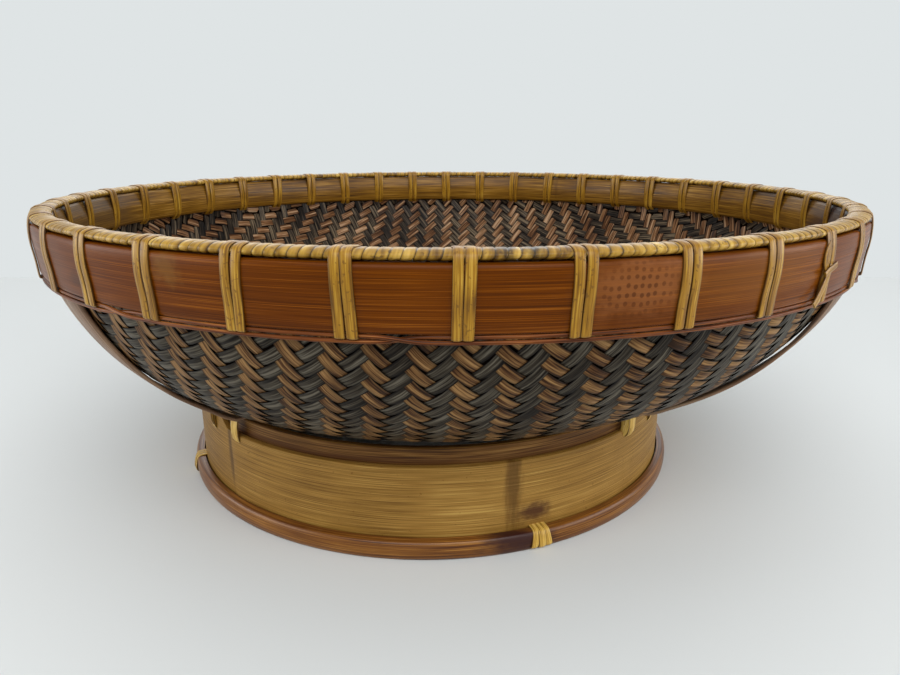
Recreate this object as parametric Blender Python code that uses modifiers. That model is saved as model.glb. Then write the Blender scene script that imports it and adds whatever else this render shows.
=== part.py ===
"""Footed winnowing basket: a woven bowl with a lashed bamboo rim, carried on a bent bamboo foot.

Metres, +Z up. The origin is on the floor under the centre of the rim.
Azimuths run from the front (-Y) towards +X.
"""

import math

import bmesh
import bpy
from mathutils import Matrix, Vector

# Fits, facets and how far a cutter runs past what it cuts
CLEAR = 0.0003
RING_SIDES = 64
CUT_MARGIN = 0.010

# Rim bands
RIM_RADIUS = 0.225
RIM_LEAN = 0.0013
OUTER_BAND_HEIGHT = 0.0233
OUTER_BAND_THICKNESS = 0.0042
INNER_BAND_HEIGHT = 0.0200
INNER_BAND_THICKNESS = 0.0036
BAND_EDGE = 0.0012

# Bowl
BOWL_DEPTH = 0.0974
WALL_THICKNESS = 0.0016
BASE_RADIUS = 0.123
BASE_SHIFT = 0.007
BASE_SHIFT_POWER = 1.8
BELLY_DROP = 0.0082
BELLY_REACH = 0.066
BOWL_STEPS = 7

# Wrapped cap on the rim
CAP_WIDTH = 0.0096
CAP_HEIGHT = 0.0038
WRAP_THICKNESS = 0.0008
WRAP_RIB_DEPTH = 0.0003
WRAP_RIBS = 100
WRAP_OPENING = 0.0012
CAP_SIDES = 6

# Runner rods under the outer band
RUNNER_DIAMETER = 0.0016
RUNNER_SIDES = 5

# Cane lashings
LASHING_COUNT = 40
LASHING_START = math.radians(1.0)
LASHING_SPREAD = 0.085
CANE_WIDTH = 0.0037
CANE_THICKNESS = 0.0008
CANE_PAIR_GAP = 0.0006
CANE_GROOVE_DEPTH = 0.0002
LASHING_SLACK = 0.0002

# Straps that cross under the bowl
STRAP_WIDTH = 0.025
STRAP_THICKNESS = 0.0018
STRAP_AZIMUTHS = (math.radians(50.5), math.radians(-46.5))
STRAP_SLACK = 0.0012
STRAP_FALL_POWER = 8
STRAP_STEPS = 10
STRAP_DIP_RUN = 0.014

# Foot
FOOT_RADIUS = 0.142
FOOT_HEIGHT = 0.0545
FOOT_SHIFT = 0.012
FOOT_INNER_THICKNESS = 0.0030
FOOT_OUTER_THICKNESS = 0.0027
FOOT_STEP_DROP = 0.0084
FOOT_STEP_HALF_ANGLE = math.radians(49.0)
FOOT_SEAM_AZIMUTH = math.radians(-44.0)
FOOT_SEAM_GAP = 0.0005
HOOP_HEIGHT = 0.0100
HOOP_THICKNESS = 0.0050
HOOP_EDGE = 0.0024
HOOP_STANDOFF = 0.0009

# Ties on the foot
TIE_DIAMETER = 0.0012
TIE_BEVEL_RESOLUTION = 1
TIE_MARGIN = 0.0009
TIE_HOLE_DROP = 0.0116
TIE_HOLE_SIDES = 8
TIE_BEND = 0.0014
HOOP_TIE_COUNT = 4
HOOP_TIE_START = math.radians(22.0)

# A pair of canes side by side, with the groove between them
CANE_DEPTH = CANE_THICKNESS + CANE_GROOVE_DEPTH
CANE_LIFT = CLEAR + CANE_DEPTH / 2
LASHING_WIDTH = 2 * CANE_WIDTH + CANE_PAIR_GAP
SLOT_WIDTH = LASHING_WIDTH + 2 * CLEAR
SLOT_HEIGHT = CANE_DEPTH + 2 * CLEAR

# Heights, stacked from the floor up
STRAP_SEAT = FOOT_HEIGHT + CLEAR
STRAP_TOP = STRAP_SEAT + STRAP_THICKNESS
BASE_Z = STRAP_TOP + CLEAR + TIE_DIAMETER + CLEAR
WALL_TOP = BASE_Z + BOWL_DEPTH
BAND_BOTTOM = WALL_TOP - OUTER_BAND_HEIGHT
CAP_Z = WALL_TOP + CLEAR + CAP_HEIGHT / 2
UPPER_RUNNER_Z = BAND_BOTTOM - CLEAR - RUNNER_DIAMETER / 2
LASHING_RUN_Z = UPPER_RUNNER_Z - RUNNER_DIAMETER / 2 - CANE_LIFT
LOWER_RUNNER_Z = LASHING_RUN_Z - CANE_LIFT - RUNNER_DIAMETER / 2

# Radii, stacked from the rim in
WALL_RADIUS = RIM_RADIUS - OUTER_BAND_THICKNESS - CLEAR
INNER_BAND_RADIUS = WALL_RADIUS - WALL_THICKNESS - CLEAR
INNER_BAND_LEAN = RIM_LEAN * INNER_BAND_HEIGHT / 2 / OUTER_BAND_HEIGHT
RIM_INSIDE = INNER_BAND_RADIUS - INNER_BAND_LEAN - INNER_BAND_THICKNESS
CAP_RADIUS = (RIM_RADIUS + RIM_INSIDE) / 2
FACET_SAG = RIM_RADIUS * (1 - math.cos(math.pi / RING_SIDES))
FOOT_OUTER_RADIUS = FOOT_RADIUS + CLEAR + FOOT_OUTER_THICKNESS
HOOP_INSIDE = FOOT_OUTER_RADIUS + HOOP_STANDOFF
HOOP_RADIUS = HOOP_INSIDE + HOOP_THICKNESS


def clear_scene():
    for old in list(bpy.data.objects):
        bpy.data.objects.remove(old, do_unlink=True)


def new_collection(name):
    collection = bpy.data.collections.new(name)
    bpy.context.scene.collection.children.link(collection)
    return collection


def new_material(name, rgb, roughness):
    material = bpy.data.materials.new(name)
    material.use_nodes = True
    shader = material.node_tree.nodes["Principled BSDF"]
    shader.inputs["Base Color"].default_value = (*rgb, 1.0)
    shader.inputs["Roughness"].default_value = roughness
    shader.inputs["Metallic"].default_value = 0.0
    return material


def place(collection, name, data, material=None, parent=None):
    """Adds an object with this mesh or curve to a collection."""
    piece = bpy.data.objects.new(name, data)
    collection.objects.link(piece)
    piece.parent = parent
    if material and not data.materials:
        data.materials.append(material)
    return piece


def mesh_from(bm, name):
    mesh = bpy.data.meshes.new(name)
    bm.to_mesh(mesh)
    bm.free()
    return mesh


def polar(radius, azimuth, z):
    return Vector((radius * math.sin(azimuth), -radius * math.cos(azimuth), z))


def facing(azimuth):
    """Turn about Z that points local +X at this azimuth."""
    return azimuth - math.pi / 2


def lashing_azimuths():
    """The weaver's bays are a little wider at the front than at the back."""
    for k in range(LASHING_COUNT):
        even = LASHING_START + 2 * math.pi * k / LASHING_COUNT
        yield even + LASHING_SPREAD * math.sin(even)


def band_lean(z):
    """How far the rim stands in from its top radius at this height."""
    return RIM_LEAN * (WALL_TOP - z) / OUTER_BAND_HEIGHT


def profile_mesh(name, outline, closed):
    bm = bmesh.new()
    corners = [bm.verts.new((radius, 0.0, z)) for radius, z in outline]
    for first, second in zip(corners, corners[1:]):
        bm.edges.new((first, second))
    if closed:
        bm.edges.new((corners[-1], corners[0]))
    return mesh_from(bm, name)


def turned(collection, name, outline, material, closed=True, smooth=False, parent=None):
    """Turns an outline of (radius, z) points about Z."""
    piece = place(collection, name, profile_mesh(name, outline, closed), material, parent)
    screw = piece.modifiers.new("turn", "SCREW")
    screw.axis = "Z"
    screw.angle = 2 * math.pi
    screw.steps = RING_SIDES
    screw.render_steps = RING_SIDES
    screw.use_merge_vertices = True
    screw.merge_threshold = 0.00001
    screw.use_smooth_shade = smooth
    return piece


def half_round(flat_top, flat_bottom, top, bottom, thickness, edge, side):
    """Outline of a half-round strip; side is +1 when its round face looks outwards, -1 inwards."""
    arc = []
    steps = 5
    for k in range(steps):
        turn = math.pi * k / (steps - 1)
        along = (1 - math.cos(turn)) / 2
        bulge = edge + (thickness - edge) * math.sin(turn) ** 0.7
        flat = flat_top + (flat_bottom - flat_top) * along
        arc.append((flat + side * bulge, top + (bottom - top) * along))
    flat_side = [(flat_bottom, bottom), (flat_top, top)]
    outline = arc + flat_side
    return outline if side > 0 else outline[::-1]


def ring(name, radius, z, half_width, half_height, stations, sides):
    """A torus with an oval section, as a mesh."""
    bpy.ops.mesh.primitive_torus_add(
        major_radius=radius, minor_radius=half_width, major_segments=stations, minor_segments=sides
    )
    torus = bpy.context.object
    mesh = torus.data
    mesh.name = name
    bpy.data.objects.remove(torus, do_unlink=True)
    mesh.transform(Matrix.Diagonal((1, 1, half_height / half_width, 1)))
    mesh.transform(Matrix.Translation((0, 0, z)))
    mesh.shade_smooth()
    return mesh


def ribbon(name, path, columns, closed):
    """A strip along a path of (x, z) points; columns are (y, inset) lines across its width."""
    bm = bmesh.new()
    rows = []
    for y, inset in columns:
        rows.append([bm.verts.new((x, y, z)) for x, z in inset_path(path, inset)])
    count = len(path)
    for left, right in zip(rows, rows[1:]):
        for k in range(count if closed else count - 1):
            after = (k + 1) % count
            bm.faces.new((left[k], left[after], right[after], right[k]))
    bmesh.ops.recalc_face_normals(bm, faces=bm.faces)
    return mesh_from(bm, name)


def inset_path(path, inset):
    """The path moved to its left, which is inwards on a loop drawn anticlockwise."""
    if not inset:
        return path
    moved = []
    for k, point in enumerate(path):
        run = Vector(path[(k + 1) % len(path)]) - Vector(path[k - 1])
        moved.append(Vector(point) + Vector((-run.y, run.x)).normalized() * inset)
    return moved


def thicken(piece, thickness, offset):
    solid = piece.modifiers.new("thickness", "SOLIDIFY")
    solid.thickness = thickness
    solid.offset = offset
    solid.use_even_offset = True
    return solid


def cutter_from(collection, name, bm, parent=None):
    cutter = place(collection, name, mesh_from(bm, name), parent=parent)
    cutter.hide_render = True
    cutter.display_type = "WIRE"
    return cutter


def cut(piece, cutter):
    boolean = piece.modifiers.new(cutter.name, "BOOLEAN")
    boolean.operation = "DIFFERENCE"
    boolean.solver = "EXACT"
    boolean.object = cutter


def add_box(bm, azimuth, radius_low, radius_high, width, z_low, z_high):
    """A box that lies along a radius at this azimuth."""
    middle = ((radius_low + radius_high) / 2, 0, (z_low + z_high) / 2)
    size = (radius_high - radius_low, width, z_high - z_low, 1)
    turn = Matrix.Rotation(facing(azimuth), 4, "Z")
    bmesh.ops.create_cube(bm, size=1.0, matrix=turn @ Matrix.Translation(middle) @ Matrix.Diagonal(size))


def bowl_curve(t):
    """Point and outward normal on the outside of the bowl, from the rim bands (0) to the base (1)."""
    shoulder = Vector((WALL_RADIUS - band_lean(BAND_BOTTOM), BAND_BOTTOM))
    drop = Vector((-band_lean(WALL_TOP - BELLY_DROP), -BELLY_DROP))
    base = Vector((BASE_RADIUS, BASE_Z))
    reach = Vector((BELLY_REACH, 0))
    p = (shoulder, shoulder + drop, base + reach, base)
    s = 1 - t
    point = s**3 * p[0] + 3 * s * s * t * p[1] + 3 * s * t * t * p[2] + t**3 * p[3]
    run = s * s * (p[1] - p[0]) + 2 * s * t * (p[2] - p[1]) + t * t * (p[3] - p[2])
    normal = Vector((-run.y, run.x)).normalized()
    return point, normal


def bowl_curve_at(axis, value):
    """Where the bowl's curve reaches a radius (axis 0) or a height (axis 1)."""
    low, high = 0.0, 1.0
    for _ in range(40):
        middle = (low + high) / 2
        if bowl_curve(middle)[0][axis] > value:
            low = middle
        else:
            high = middle
    return low


def base_share(z):
    """Share of the base's shift to one side: none at the rim bands, all of it at the base."""
    drop = (BAND_BOTTOM - z) / (BAND_BOTTOM - BASE_Z)
    return min(max(drop, 0.0), 1.0) ** BASE_SHIFT_POWER


def make_bowl(parts, cutters):
    material = new_material("woven_bamboo_mat", (0.105, 0.062, 0.036), 0.5)
    outline = [(WALL_RADIUS, WALL_TOP)]
    outline += [bowl_curve(k / BOWL_STEPS)[0][:] for k in range(BOWL_STEPS + 1)]
    outline.append((0.0, BASE_Z))
    bowl = turned(parts, "woven_bowl", outline, material, closed=False, smooth=True)
    shares = bowl.vertex_groups.new(name="base_share")
    for vert in bowl.data.vertices:
        shares.add([vert.index], base_share(vert.co.z), "REPLACE")
    skew = bowl.modifiers.new("base_shift", "DISPLACE")
    skew.vertex_group = shares.name
    skew.direction = "X"
    skew.strength = -BASE_SHIFT
    skew.mid_level = 0.0
    thicken(bowl, WALL_THICKNESS, -1.0)
    slots = bmesh.new()
    for azimuth in lashing_azimuths():
        z_low = LASHING_RUN_Z - SLOT_HEIGHT / 2
        add_box(slots, azimuth, RIM_INSIDE, RIM_RADIUS, SLOT_WIDTH, z_low, z_low + SLOT_HEIGHT)
    cut(bowl, cutter_from(cutters, "lashing_slots", slots))


def make_rim_bands(parts):
    outer_material = new_material("reddish_bamboo_band", (0.205, 0.053, 0.013), 0.35)
    inner_material = new_material("tan_bamboo_band", (0.17, 0.08, 0.02), 0.4)
    low = band_lean(BAND_BOTTOM)
    outer = [
        (RIM_RADIUS - BAND_EDGE, WALL_TOP),
        (RIM_RADIUS - BAND_EDGE / 4, WALL_TOP - BAND_EDGE * 0.75),
        (RIM_RADIUS, WALL_TOP - OUTER_BAND_HEIGHT / 3),
        (RIM_RADIUS - low, BAND_BOTTOM + BAND_EDGE / 2),
        (RIM_RADIUS - low - BAND_EDGE / 2, BAND_BOTTOM),
        (RIM_RADIUS - low - OUTER_BAND_THICKNESS, BAND_BOTTOM),
        (RIM_RADIUS - OUTER_BAND_THICKNESS, WALL_TOP),
    ]
    turned(parts, "outer_rim_band", outer, outer_material)
    bottom = WALL_TOP - INNER_BAND_HEIGHT
    flat_bottom = INNER_BAND_RADIUS - band_lean(bottom)
    inner = half_round(INNER_BAND_RADIUS, flat_bottom, WALL_TOP, bottom, INNER_BAND_THICKNESS, BAND_EDGE, -1)
    turned(parts, "inner_rim_band", inner, inner_material, smooth=True)


def make_cap(parts, cutters):
    """The capping strip and the cane wound round it; the winding is open where its two ends meet."""
    core_material = new_material("split_bamboo_strip", (0.30, 0.20, 0.09), 0.6)
    wrap_material = new_material("wound_cane", (0.33, 0.21, 0.07), 0.4)
    bore_width = CAP_WIDTH / 2 - WRAP_THICKNESS
    bore_height = CAP_HEIGHT / 2 - WRAP_THICKNESS
    core = ring("rim_core", CAP_RADIUS, CAP_Z, bore_width - CLEAR, bore_height - CLEAR, RING_SIDES, CAP_SIDES)
    place(parts, "rim_core", core, core_material)
    stations = 2 * WRAP_RIBS
    winding = ring("rim_wrapping", CAP_RADIUS, CAP_Z, CAP_WIDTH / 2, CAP_HEIGHT / 2, stations, CAP_SIDES)
    for vert in winding.vertices:
        station = round(math.atan2(vert.co.y, vert.co.x) / (2 * math.pi) * stations)
        if station % 2:
            middle = Vector((vert.co.x, vert.co.y, 0)).normalized() * CAP_RADIUS
            middle.z = CAP_Z
            vert.co += (middle - vert.co).normalized() * WRAP_RIB_DEPTH
    wrapping = place(parts, "rim_wrapping", winding, wrap_material)
    bore = bmesh.new()
    bore.from_mesh(ring("bore", CAP_RADIUS, CAP_Z, bore_width, bore_height, RING_SIDES, CAP_SIDES))
    cut(wrapping, cutter_from(cutters, "wrapping_bore", bore))
    opening = bmesh.new()
    behind = list(lashing_azimuths())[LASHING_COUNT // 2]
    radii = (RIM_INSIDE - CUT_MARGIN, RIM_RADIUS + CUT_MARGIN)
    add_box(opening, behind, *radii, WRAP_OPENING, CAP_Z - CUT_MARGIN, CAP_Z + CUT_MARGIN)
    cut(wrapping, cutter_from(cutters, "wrapping_opening", opening))


def make_runners(parts):
    material = new_material("reddish_runner_rod", (0.22, 0.07, 0.025), 0.4)
    half = RUNNER_DIAMETER / 2
    upper_radius = RIM_RADIUS - band_lean(BAND_BOTTOM) - half
    upper = ring("upper_runner", upper_radius, UPPER_RUNNER_Z, half, half, RING_SIDES, RUNNER_SIDES)
    place(parts, "upper_runner", upper, material)
    wall = bowl_curve(bowl_curve_at(1, LOWER_RUNNER_Z))[0][0]
    strap_swell = (STRAP_WIDTH / 2) ** 2 / (2 * wall)
    lower_radius = wall + CLEAR + STRAP_THICKNESS + strap_swell + FACET_SAG + CLEAR + half
    lower = ring("lower_runner", lower_radius, LOWER_RUNNER_Z, half, half, RING_SIDES, RUNNER_SIDES)
    place(parts, "lower_runner", lower, material.copy())


def cane_columns():
    """Lines across a pair of canes: both edges, and the groove between the two."""
    half = LASHING_WIDTH / 2
    groove = CANE_GROOVE_DEPTH / 2
    return ((-half, -groove), (0.0, groove), (half, -groove))


def lashing_path():
    """Loop of the cane: through the wall, up the outer band, over the cap and down the inner band."""
    over = CANE_LIFT + LASHING_SLACK
    inside = RIM_INSIDE - CANE_LIFT - FACET_SAG
    path = [
        (RIM_RADIUS - band_lean(BAND_BOTTOM) + CANE_LIFT, LASHING_RUN_Z),
        (RIM_RADIUS + CANE_LIFT, WALL_TOP - OUTER_BAND_HEIGHT / 3),
    ]
    for k in range(5):
        turn = math.pi * k / 4
        radius = CAP_RADIUS + (CAP_WIDTH / 2 + over) * math.cos(turn)
        path.append((radius, CAP_Z + (CAP_HEIGHT / 2 + over) * math.sin(turn)))
    path.append((inside, WALL_TOP - INNER_BAND_HEIGHT / 2))
    path.append((inside, LASHING_RUN_Z))
    return path


def make_lashings(parts):
    material = new_material("golden_cane", (0.44, 0.26, 0.06), 0.35)
    mesh = ribbon("rim_lashing", lashing_path(), cane_columns(), closed=True)
    for number, azimuth in enumerate(lashing_azimuths(), start=1):
        lashing = place(parts, f"rim_lashing_{number:02d}", mesh, material)
        lashing.rotation_euler.z = facing(azimuth)
        thicken(lashing, CANE_THICKNESS, 0.0)


def strap_arm():
    """Middle line of one arm of a strap, from its tip under the runners to where it lies on the foot."""
    landing = FOOT_OUTER_RADIUS + FOOT_SHIFT - BASE_SHIFT
    level = STRAP_SEAT + STRAP_THICKNESS / 2
    start = bowl_curve_at(1, LASHING_RUN_Z - CANE_LIFT)
    end = bowl_curve_at(0, landing)
    close = CLEAR + STRAP_THICKNESS / 2
    drop = bowl_curve(end)[0][1] - level
    arm = []
    for k in range(STRAP_STEPS):
        share = k / STRAP_STEPS
        point, normal = bowl_curve(start + (end - start) * share)
        hang = close + STRAP_SLACK * math.sin(share * math.pi / 2)
        arm.append(point + normal * (hang + (drop - hang) * share**STRAP_FALL_POWER))
    arm.append(Vector((landing, level)))
    return arm


def strap_path(dip):
    """A whole strap from rim to rim, which may dip under the other one at the middle."""
    level = STRAP_SEAT + STRAP_THICKNESS / 2
    arm = strap_arm()
    crossing = abs(STRAP_AZIMUTHS[0] - STRAP_AZIMUTHS[1])
    half_cross = STRAP_WIDTH / 2 * (1 + abs(math.cos(crossing))) / math.sin(crossing) + 2 * CLEAR
    if dip:
        arm.append(Vector((half_cross + STRAP_DIP_RUN, level)))
        arm.append(Vector((half_cross, level - dip)))
    return arm + [Vector((-point.x, point.y)) for point in reversed(arm)]


def make_straps(parts):
    material = new_material("weathered_bamboo_strap", (0.26, 0.155, 0.09), 0.5)
    columns = ((-STRAP_WIDTH / 2, 0.0), (STRAP_WIDTH / 2, 0.0))
    dips = (0.0, STRAP_THICKNESS + CLEAR)
    for name, azimuth, dip in zip(("cross_strap_over", "cross_strap_under"), STRAP_AZIMUTHS, dips):
        mesh = ribbon(name, strap_path(dip), columns, closed=False)
        aside = Matrix.Rotation(-facing(azimuth), 3, "Z") @ Vector((-BASE_SHIFT, 0, 0))
        for vert in mesh.vertices:
            vert.co += aside * base_share(vert.co.z)
        strap = place(parts, name, mesh, material.copy())
        strap.rotation_euler.z = facing(azimuth)
        thicken(strap, STRAP_THICKNESS, 0.0)


def strap_crossings():
    """Azimuths about the foot's own axis where the four strap arms cross its bands."""
    axis = Vector((BASE_SHIFT - FOOT_SHIFT, 0, 0))
    for azimuth in STRAP_AZIMUTHS:
        for turn in (0.0, math.pi):
            along = polar(1.0, azimuth + turn, 0)
            lead = along.dot(axis)
            reach = lead + math.sqrt(FOOT_RADIUS**2 - axis.length_squared + lead**2)
            point = along * reach - axis
            yield math.atan2(point.x, -point.y)


def strap_tie_side():
    """Angle about the foot from the middle of a strap to where its tie passes the edge."""
    return (STRAP_WIDTH / 2 + TIE_DIAMETER / 2 + CLEAR + TIE_MARGIN) / FOOT_RADIUS


def hoop_tie_azimuths():
    return [HOOP_TIE_START + 2 * math.pi * k / HOOP_TIE_COUNT for k in range(HOOP_TIE_COUNT)]


def make_foot(parts, cutters, axis):
    inner_material = new_material("brown_bamboo_band", (0.155, 0.062, 0.027), 0.45)
    outer_material = new_material("light_bamboo_band", (0.38, 0.205, 0.053), 0.45)
    hoop_material = new_material("half_round_bamboo_hoop", (0.19, 0.062, 0.022), 0.35)
    inside = FOOT_RADIUS - FOOT_INNER_THICKNESS
    bottom = SLOT_HEIGHT

    top = FOOT_HEIGHT
    outside = FOOT_RADIUS + CLEAR
    inner_outline = [(FOOT_RADIUS, top), (FOOT_RADIUS, bottom), (inside, bottom), (inside, top)]
    inner = turned(parts, "foot_inner_band", inner_outline, inner_material, parent=axis)
    outer_outline = [(FOOT_OUTER_RADIUS, top), (FOOT_OUTER_RADIUS, bottom), (outside, bottom), (outside, top)]
    outer = turned(parts, "foot_outer_band", outer_outline, outer_material, parent=axis)
    hoop_outline = half_round(HOOP_INSIDE, HOOP_INSIDE, HOOP_HEIGHT, 0.0, HOOP_THICKNESS, HOOP_EDGE, 1)
    hoop = turned(parts, "foot_hoop", hoop_outline, hoop_material, smooth=True, parent=axis)

    holes = bmesh.new()
    for azimuth in strap_crossings():
        beside = azimuth - strap_tie_side()
        centre = Matrix.Translation(polar(FOOT_RADIUS, beside, FOOT_HEIGHT - TIE_HOLE_DROP))
        turn = Matrix.Rotation(facing(beside), 4, "Z") @ Matrix.Rotation(math.pi / 2, 4, "Y")
        radius = TIE_DIAMETER / 2 + 2 * CLEAR
        bmesh.ops.create_cone(
            holes,
            cap_ends=True,
            segments=TIE_HOLE_SIDES,
            radius1=radius,
            radius2=radius,
            depth=2 * CUT_MARGIN,
            matrix=centre @ turn,
        )
    for azimuth in hoop_tie_azimuths():
        radii = (inside - CUT_MARGIN, HOOP_RADIUS)
        add_box(holes, azimuth, *radii, SLOT_WIDTH, HOOP_HEIGHT, HOOP_HEIGHT + SLOT_HEIGHT)
    holes = cutter_from(cutters, "foot_band_holes", holes, axis)
    cut(inner, holes)
    cut(outer, holes)

    notches = bmesh.new()
    for azimuth in hoop_tie_azimuths():
        add_box(notches, azimuth, inside, HOOP_RADIUS + CUT_MARGIN, SLOT_WIDTH, -CUT_MARGIN, SLOT_HEIGHT)
    cut(hoop, cutter_from(cutters, "hoop_notches", notches, axis))

    step = bmesh.new()
    half_chord = FOOT_OUTER_RADIUS * math.sin(FOOT_STEP_HALF_ANGLE)
    back = FOOT_OUTER_RADIUS * math.cos(FOOT_STEP_HALF_ANGLE)
    front = FOOT_OUTER_RADIUS + CUT_MARGIN
    add_box(step, 0.0, back, front, 2 * half_chord, top - FOOT_STEP_DROP, top + CUT_MARGIN)
    cut(outer, cutter_from(cutters, "outer_band_step", step, axis))
    seam = bmesh.new()
    add_box(seam, FOOT_SEAM_AZIMUTH, inside, HOOP_RADIUS, FOOT_SEAM_GAP, -CUT_MARGIN, top + CUT_MARGIN)
    cut(outer, cutter_from(cutters, "outer_band_seam", seam, axis))


def bend_corners(points, cut_back):
    """Replaces each corner of a closed loop by two points, so a cane turns it in two bends."""
    loop = []
    for k, point in enumerate(points):
        for other in (points[k - 1], points[(k + 1) % len(points)]):
            loop.append(point + (other - point).normalized() * cut_back)
    return loop


def make_strap_ties(parts, axis):
    """Each tie leaves a hole beside its strap, crosses over the strap and closes behind the foot."""
    material = new_material("strap_tie_cane", (0.42, 0.24, 0.07), 0.4)
    half = TIE_DIAMETER / 2
    outside = FOOT_OUTER_RADIUS + CLEAR + half
    inside = FOOT_RADIUS - FOOT_INNER_THICKNESS - CLEAR - half - FACET_SAG
    low = FOOT_HEIGHT - TIE_HOLE_DROP
    high = STRAP_TOP + CLEAR + half
    side = strap_tie_side()
    for number, azimuth in enumerate(strap_crossings(), start=1):
        corners = [
            polar(outside, azimuth - side, low),
            polar(outside, azimuth - side, high),
            polar(inside, azimuth + side, high),
            polar(inside, azimuth + side, low),
            polar(inside, azimuth - side, low),
        ]
        curve = bpy.data.curves.new(f"strap_tie_{number}", "CURVE")
        curve.dimensions = "3D"
        curve.bevel_depth = half
        curve.bevel_resolution = TIE_BEVEL_RESOLUTION
        loop = bend_corners(corners, TIE_BEND)
        spline = curve.splines.new("POLY")
        spline.points.add(len(loop) - 1)
        for spot, point in zip(spline.points, loop):
            spot.co = (*point, 1.0)
        spline.use_cyclic_u = True
        place(parts, f"strap_tie_{number}", curve, material, axis)


def make_hoop_ties(parts, axis):
    """Each tie goes over the hoop, under it in a shallow notch and back through the foot's bands."""
    material = new_material("hoop_tie_cane", (0.45, 0.27, 0.07), 0.4)
    inside = FOOT_RADIUS - FOOT_INNER_THICKNESS - CANE_LIFT - FACET_SAG
    top = HOOP_HEIGHT + CANE_LIFT
    path = [
        (inside, CANE_LIFT),
        (HOOP_RADIUS + CANE_LIFT, CANE_LIFT),
        (HOOP_RADIUS + CANE_LIFT, HOOP_HEIGHT / 2),
        (HOOP_RADIUS, HOOP_HEIGHT - CANE_LIFT),
        (HOOP_INSIDE + HOOP_EDGE, top),
        (inside, top),
    ]
    mesh = ribbon("hoop_tie", path, cane_columns(), closed=True)
    for number, azimuth in enumerate(hoop_tie_azimuths(), start=1):
        tie = place(parts, f"hoop_tie_{number}", mesh, material, axis)
        tie.rotation_euler.z = facing(azimuth)
        thicken(tie, CANE_THICKNESS, 0.0)


def main():
    clear_scene()
    parts = new_collection("winnowing_basket")
    cutters = new_collection("cutters")
    foot_axis = bpy.data.objects.new("foot_axis", None)
    parts.objects.link(foot_axis)
    foot_axis.location.x = -FOOT_SHIFT
    make_bowl(parts, cutters)
    make_rim_bands(parts)
    make_cap(parts, cutters)
    make_runners(parts)
    make_lashings(parts)
    make_straps(parts)
    make_foot(parts, cutters, foot_axis)
    make_strap_ties(parts, foot_axis)
    make_hoop_ties(parts, foot_axis)


main()
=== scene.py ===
"""Looks of the footed winnowing basket: woven bowl, lashed rim, crossed straps and banded foot.

Metres, +Z up, the front at -Y. Azimuths run from the front towards +X.
"""

import math

import bpy
import numpy as np
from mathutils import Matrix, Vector


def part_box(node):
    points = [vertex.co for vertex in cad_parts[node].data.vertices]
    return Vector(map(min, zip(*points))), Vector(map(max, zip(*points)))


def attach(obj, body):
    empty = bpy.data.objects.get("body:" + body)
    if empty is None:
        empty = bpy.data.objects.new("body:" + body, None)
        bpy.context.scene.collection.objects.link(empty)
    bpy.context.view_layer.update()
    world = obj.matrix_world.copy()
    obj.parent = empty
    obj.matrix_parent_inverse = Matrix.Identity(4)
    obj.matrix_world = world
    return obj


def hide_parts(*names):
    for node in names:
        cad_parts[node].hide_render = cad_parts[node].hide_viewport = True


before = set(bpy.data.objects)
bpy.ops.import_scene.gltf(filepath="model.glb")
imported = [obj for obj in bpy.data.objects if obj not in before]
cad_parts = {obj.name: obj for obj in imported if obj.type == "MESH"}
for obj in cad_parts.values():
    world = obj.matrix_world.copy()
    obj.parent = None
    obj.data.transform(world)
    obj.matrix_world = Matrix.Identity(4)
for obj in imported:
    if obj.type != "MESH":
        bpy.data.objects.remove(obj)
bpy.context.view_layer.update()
chance = np.random.default_rng(11)
MM = 0.001

# Sizes read from the solids
outer_low, outer_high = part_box("outer_rim_band")
inner_low, inner_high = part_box("inner_rim_band")
wall_low, wall_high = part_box("woven_bowl")
core_low, core_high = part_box("rim_core")
_, runner_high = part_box("lower_runner")
foot_low, foot_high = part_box("foot_outer_band")
_, brace_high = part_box("foot_inner_band")
hoop_low, hoop_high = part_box("foot_hoop")
strap_low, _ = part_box("cross_strap_over")
RIM_RADIUS = outer_high.x
BAND_TOP = outer_high.z
BAND_BOTTOM = outer_low.z
WALL_RADIUS = wall_high.x
BASE_Z = wall_low.z
INNER_RADIUS = inner_high.x
INNER_BOTTOM = inner_low.z
CAP_Z = (core_low.z + core_high.z) / 2
RUNNER_TOP = runner_high.z
STRAP_BOTTOM = strap_low.z
FOOT_X = (hoop_low.x + hoop_high.x) / 2
FOOT_RADIUS = foot_high.x - FOOT_X
FOOT_BOTTOM = foot_low.z
FOOT_TOP = foot_high.z
BRACE_RADIUS = brace_high.x - FOOT_X
HOOP_RADIUS = hoop_high.x - FOOT_X
HOOP_TOP = hoop_high.z

# Sizes of the rim
RIM_LEAN = 1.3 * MM
OUTER_BAND_THICKNESS = 4.2 * MM
INNER_BAND_THICKNESS = 3.6 * MM
INNER_BAND_LEAN = 0.6 * MM
# Profile of the inner band: share of the way down, share of its thickness
INNER_BAND_FACETS = (
    (0, 0.45), (0.06, 0.62), (0.36, 0.97), (0.42, 1.0), (0.5, 1.0),
    (0.8, 0.9), (0.92, 0.72), (0.98, 0.5), (1, 0.35),
)
BAND_EDGE = 1.3 * MM
BAND_STEPS = 256
CAP_HALF_WIDTH = 4.8 * MM
CAP_HALF_HEIGHT = 2.05 * MM
COIL_TURNS = 344
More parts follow.
